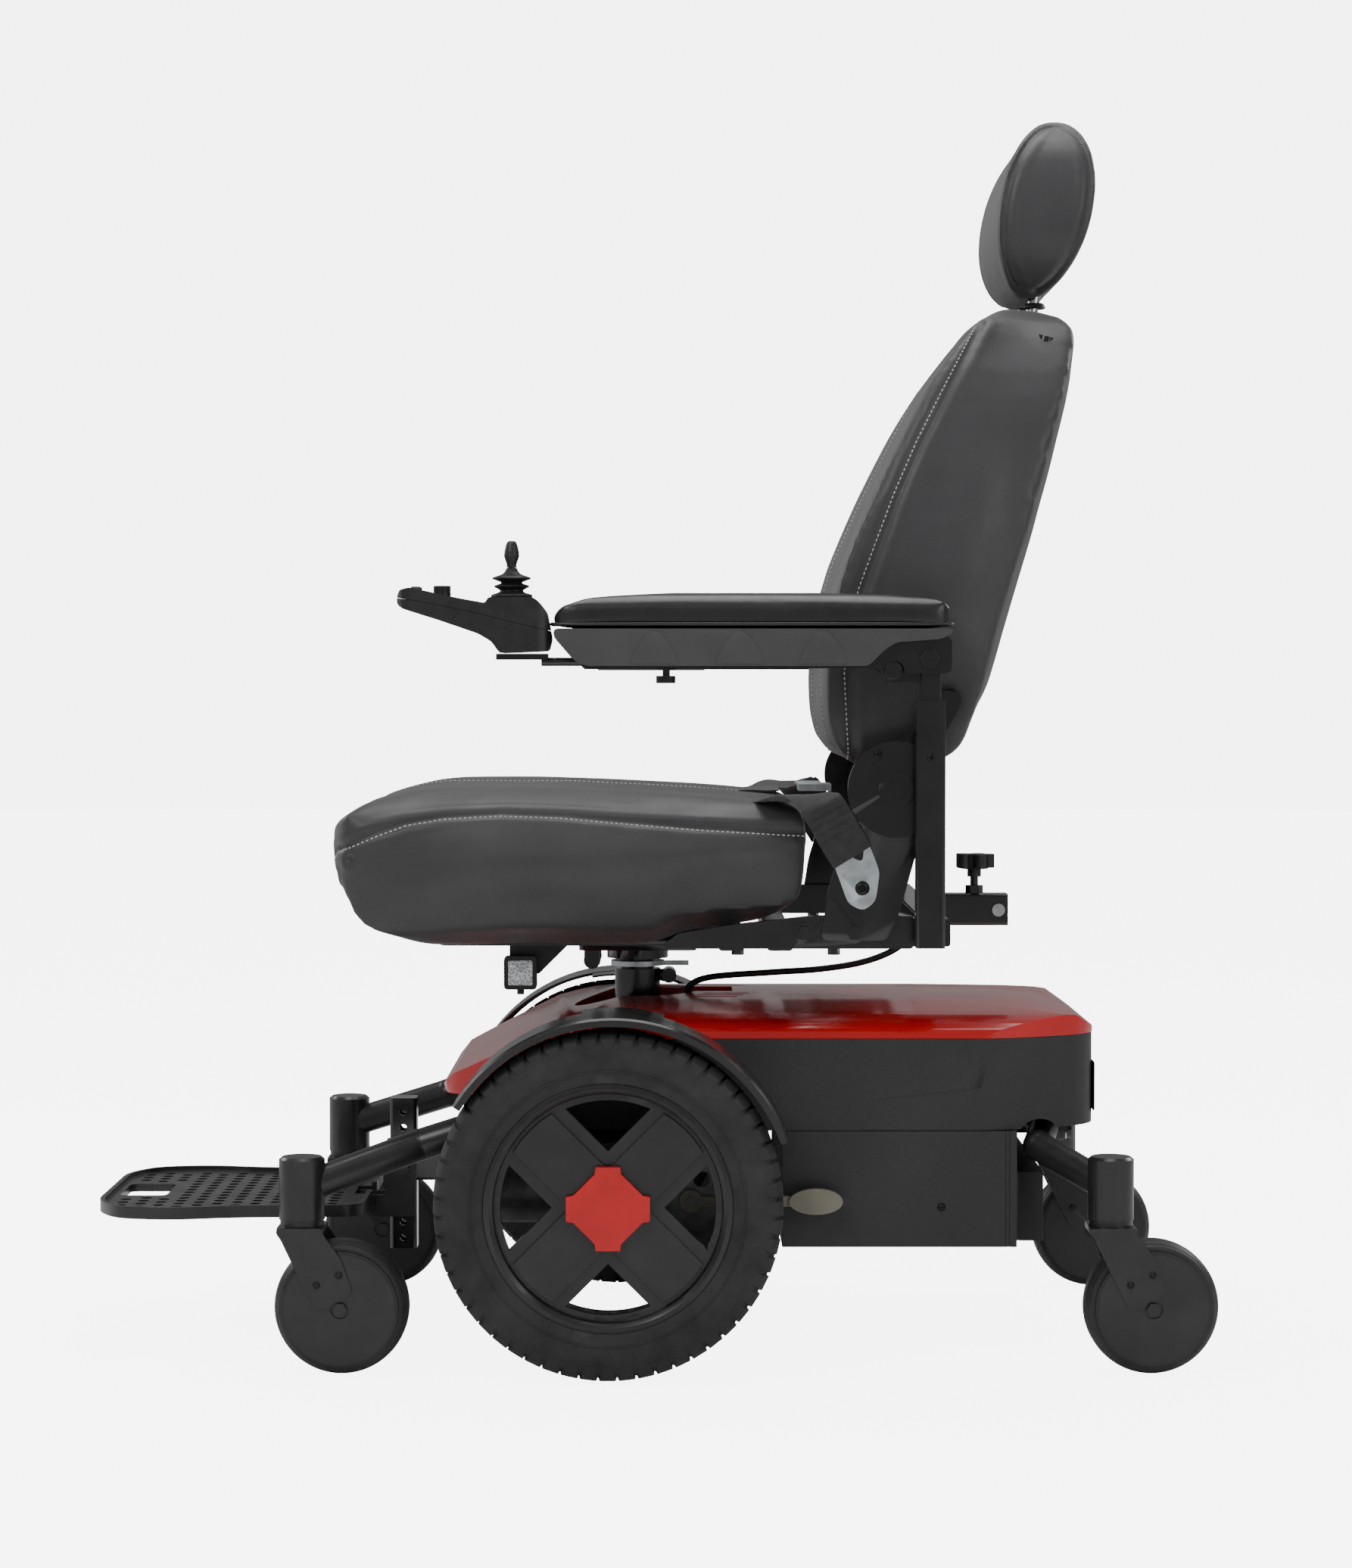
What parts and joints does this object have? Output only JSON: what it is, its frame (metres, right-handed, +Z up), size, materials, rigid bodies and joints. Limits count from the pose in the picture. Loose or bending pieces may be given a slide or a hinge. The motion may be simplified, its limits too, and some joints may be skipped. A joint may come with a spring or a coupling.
{
  "type": "power wheelchair",
  "caption": "Mid-wheel-drive power wheelchair: driven base on swivel casters, swivelling captain seat with folding back, flip-up armrests, armrest joystick and flip-up footplate.",
  "frame": {"origin": "bottom centre of the whole chair, on the floor", "axes": "-X is the way the chair drives, +X the rear, +Y the sitter's right hand, +Z up"},
  "size_m": [1.09, 0.625, 1.2187],
  "materials": {
    "frame_black": "gloss black powder coat",
    "case_charcoal": "satin moulded plastic",
    "inner_box": "plain",
    "shroud_red": "gloss",
    "fender_black": "satin gloss",
    "cast_grey": "cast",
    "lever_beige": "matte",
    "tyre_rubber": "matte tread rubber",
    "rim_black": "satin with glossy edges",
    "cap_red": "satin",
    "upholstery": "grained coated upholstery fabric over foam",
    "arm_vinyl": "semi-gloss",
    "arm_plastic": "fine moulded grain",
    "webbing": "woven",
    "zinc": "zinc plated",
    "reflector": "gloss housing",
    "knob_black": "satin",
    "steel_bright": "polished",
    "housing_black": "fine grain",
    "boot_rubber": "matte",
    "button_grey": "matte",
    "cable_black": "satin jacket"
  },
  "bodies": {
    "base": {"chassis_frame": "frame_black", "battery_case": "case_charcoal", "battery_pack": "inner_box", "lower_shroud": "case_charcoal", "top_shroud": "shroud_red", "fenders": "fender_black", "power_module": "inner_box", "drive_motors": "cast_grey", "seat_post": "frame_black"},
    "front_arm_left": {"front_arm_left": "frame_black"},
    "front_arm_right": {"front_arm_right": "frame_black"},
    "rear_beam": {"rear_beam": "frame_black"},
    "fork_fl": {"caster_fork_fl": "frame_black"},
    "wheel_fl": {"caster_wheel_fl": "tyre_rubber"},
    "fork_fr": {"caster_fork_fr": "frame_black"},
    "wheel_fr": {"caster_wheel_fr": "tyre_rubber"},
    "fork_rl": {"caster_fork_rl": "frame_black"},
    "wheel_rl": {"caster_wheel_rl": "tyre_rubber"},
    "fork_rr": {"caster_fork_rr": "frame_black"},
    "wheel_rr": {"caster_wheel_rr": "tyre_rubber"},
    "drive_wheel_left": {"drive_rim_left": "rim_black", "drive_tyre_left": "tyre_rubber", "hub_cap_left": "cap_red"},
    "freewheel_left": {"freewheel_lever_left": "lever_beige"},
    "drive_wheel_right": {"drive_rim_right": "rim_black", "drive_tyre_right": "tyre_rubber", "hub_cap_right": "cap_red"},
    "freewheel_right": {"freewheel_lever_right": "lever_beige"},
    "seat": {"seat_frame": "frame_black", "seat_cushion": "upholstery", "accessory_receiver": "frame_black", "lap_belt": "webbing", "belt_hardware": "zinc", "reflectors": "reflector", "control_cable": "cable_black"},
    "swivel_lever": {"swivel_lever": "zinc"},
    "star_knob": {"star_knob": "knob_black"},
    "receiver_pin": {"receiver_pin": "steel_bright"},
    "backrest": {"back_frame": "frame_black", "back_cushion": "upholstery"},
    "headrest": {"headrest_posts": "steel_bright", "headrest_cushion": "upholstery"},
    "arm_riser_left": {"arm_post_left": "frame_black"},
    "armrest_left": {"arm_bracket_left": "frame_black", "arm_shell_left": "arm_plastic", "arm_pad_left": "arm_vinyl"},
    "arm_riser_right": {"arm_post_right": "frame_black"},
    "armrest_right": {"arm_bracket_right": "frame_black", "arm_shell_right": "arm_plastic", "arm_pad_right": "arm_vinyl"},
    "joystick": {"joystick_bracket": "frame_black", "joystick_case": "housing_black"},
    "gimbal": {"joystick_gimbal": "cast_grey"},
    "stick": {"joystick_stick": "knob_black", "joystick_boot": "boot_rubber"},
    "speed_dial": {"speed_dial": "knob_black"},
    "power_button": {"power_button": "button_grey"},
    "horn_button": {"horn_button": "button_grey"},
    "foot_bracket": {"footplate_hanger": "frame_black"},
    "footplate": {"footplate": "frame_black"}
  },
  "joints": [
    {"name": "front_arm_left_swing", "type": "hinge", "parent": "base", "child": "front_arm_left", "pos_m": [-0.144, -0.208, 0.236], "axis": [0, 1, 0], "range_deg": [-3, 4], "stiffness_Nm_per_rad": 1500},
    {"name": "front_arm_right_swing", "type": "hinge", "parent": "base", "child": "front_arm_right", "pos_m": [-0.144, 0.208, 0.236], "axis": [0, 1, 0], "range_deg": [-3, 4], "stiffness_Nm_per_rad": 1500},
    {"name": "rear_beam_rock", "type": "hinge", "parent": "base", "child": "rear_beam", "pos_m": [0.407, 0, 0.207], "axis": [1, 0, 0], "range_deg": [-2.5, 2.5]},
    {"name": "caster_fl_swivel", "type": "hinge", "parent": "front_arm_left", "child": "fork_fl", "pos_m": [-0.326, -0.242, 0.147], "axis": [0, 0, 1], "continuous": true},
    {"name": "caster_fl_roll", "type": "hinge", "parent": "fork_fl", "child": "wheel_fl", "pos_m": [-0.288, -0.242, 0.064], "axis": [0, 1, 0], "continuous": true},
    {"name": "caster_fr_swivel", "type": "hinge", "parent": "front_arm_right", "child": "fork_fr", "pos_m": [-0.326, 0.242, 0.147], "axis": [0, 0, 1], "continuous": true},
    {"name": "caster_fr_roll", "type": "hinge", "parent": "fork_fr", "child": "wheel_fr", "pos_m": [-0.288, 0.242, 0.064], "axis": [0, 1, 0], "continuous": true},
    {"name": "caster_rl_swivel", "type": "hinge", "parent": "rear_beam", "child": "fork_rl", "pos_m": [0.443, -0.242, 0.147], "axis": [0, 0, 1], "continuous": true},
    {"name": "caster_rl_roll", "type": "hinge", "parent": "fork_rl", "child": "wheel_rl", "pos_m": [0.481, -0.242, 0.064], "axis": [0, 1, 0], "continuous": true},
    {"name": "caster_rr_swivel", "type": "hinge", "parent": "rear_beam", "child": "fork_rr", "pos_m": [0.443, 0.242, 0.147], "axis": [0, 0, 1], "continuous": true},
    {"name": "caster_rr_roll", "type": "hinge", "parent": "fork_rr", "child": "wheel_rr", "pos_m": [0.481, 0.242, 0.064], "axis": [0, 1, 0], "continuous": true},
    {"name": "drive_left_spin", "type": "hinge", "parent": "base", "child": "drive_wheel_left", "pos_m": [-0.034, -0.2675, 0.165], "axis": [0, 1, 0], "continuous": true},
    {"name": "drive_right_spin", "type": "hinge", "parent": "base", "child": "drive_wheel_right", "pos_m": [-0.034, 0.2675, 0.165], "axis": [0, 1, 0], "continuous": true},
    {"name": "freewheel_left_lever", "type": "hinge", "parent": "base", "child": "freewheel_left", "pos_m": [0.044, -0.2055, 0.158], "axis": [0, -1, 0], "range_deg": [0, 30]},
    {"name": "freewheel_right_lever", "type": "hinge", "parent": "base", "child": "freewheel_right", "pos_m": [0.044, 0.2055, 0.158], "axis": [0, -1, 0], "range_deg": [0, 30]},
    {"name": "seat_swivel", "type": "hinge", "parent": "base", "child": "seat", "pos_m": [-0.0095, 0, 0.38], "axis": [0, 0, 1], "range_deg": [-90, 90]},
    {"name": "swivel_lever_turn", "type": "hinge", "parent": "seat", "child": "swivel_lever", "pos_m": [-0.0095, 0, 0.3715], "axis": [0, 0, 1], "range_deg": [0, 15], "stiffness_Nm_per_rad": 0.1},
    {"name": "star_knob_turn", "type": "hinge", "parent": "seat", "child": "star_knob", "pos_m": [0.333, 0, 0.46], "axis": [0, 0, 1], "continuous": true},
    {"name": "receiver_pin_pull", "type": "slide", "parent": "seat", "child": "receiver_pin", "axis": [0, -1, 0], "range_m": [0, 0.04]},
    {"name": "back_fold", "type": "hinge", "parent": "seat", "child": "backrest", "pos_m": [0.237, 0, 0.556], "axis": [0, 1, 0], "range_deg": [-15, 30]},
    {"name": "headrest_height", "type": "slide", "parent": "backrest", "child": "headrest", "axis": [0.1908, 0, 0.9816], "range_m": [0, 0.06]},
    {"name": "arm_left_height", "type": "slide", "parent": "seat", "child": "arm_riser_left", "axis": [0, 0, 1], "range_m": [0, 0.07]},
    {"name": "arm_left_lift", "type": "hinge", "parent": "arm_riser_left", "child": "armrest_left", "pos_m": [0.265, -0.29, 0.679], "axis": [0, 1, 0], "range_deg": [0, 90]},
    {"name": "arm_right_height", "type": "slide", "parent": "seat", "child": "arm_riser_right", "axis": [0, 0, 1], "range_m": [0, 0.07]},
    {"name": "arm_right_lift", "type": "hinge", "parent": "arm_riser_right", "child": "armrest_right", "pos_m": [0.265, 0.29, 0.679], "axis": [0, 1, 0], "range_deg": [0, 90]},
    {"name": "joystick_reach", "type": "slide", "parent": "armrest_left", "child": "joystick", "axis": [-1, 0, 0], "range_m": [0, 0.05]},
    {"name": "stick_pitch", "type": "hinge", "parent": "joystick", "child": "gimbal", "pos_m": [-0.124, -0.281, 0.722], "axis": [0, 1, 0], "range_deg": [-15, 15], "stiffness_Nm_per_rad": 0.3},
    {"name": "stick_roll", "type": "hinge", "parent": "gimbal", "child": "stick", "pos_m": [-0.124, -0.281, 0.722], "axis": [1, 0, 0], "range_deg": [-15, 15], "stiffness_Nm_per_rad": 0.3, "deforming": ["joystick_boot"]},
    {"name": "speed_dial_turn", "type": "hinge", "parent": "joystick", "child": "speed_dial", "pos_m": [-0.189, -0.281, 0.74], "axis": [0, 0, 1], "range_deg": [-135, 135]},
    {"name": "power_button_press", "type": "slide", "parent": "joystick", "child": "power_button", "axis": [0, 0, -1], "range_m": [0, 0.0015], "stiffness_N_per_m": 300},
    {"name": "horn_button_press", "type": "slide", "parent": "joystick", "child": "horn_button", "axis": [0, 0, -1], "range_m": [0, 0.0015], "stiffness_N_per_m": 300},
    {"name": "foot_height", "type": "slide", "parent": "base", "child": "foot_bracket", "axis": [0, 0, 1], "range_m": [-0.02, 0.02]},
    {"name": "footplate_flip", "type": "hinge", "parent": "foot_bracket", "child": "footplate", "pos_m": [-0.284, 0, 0.128], "axis": [0, 1, 0], "range_deg": [0, 80]}
  ]
}
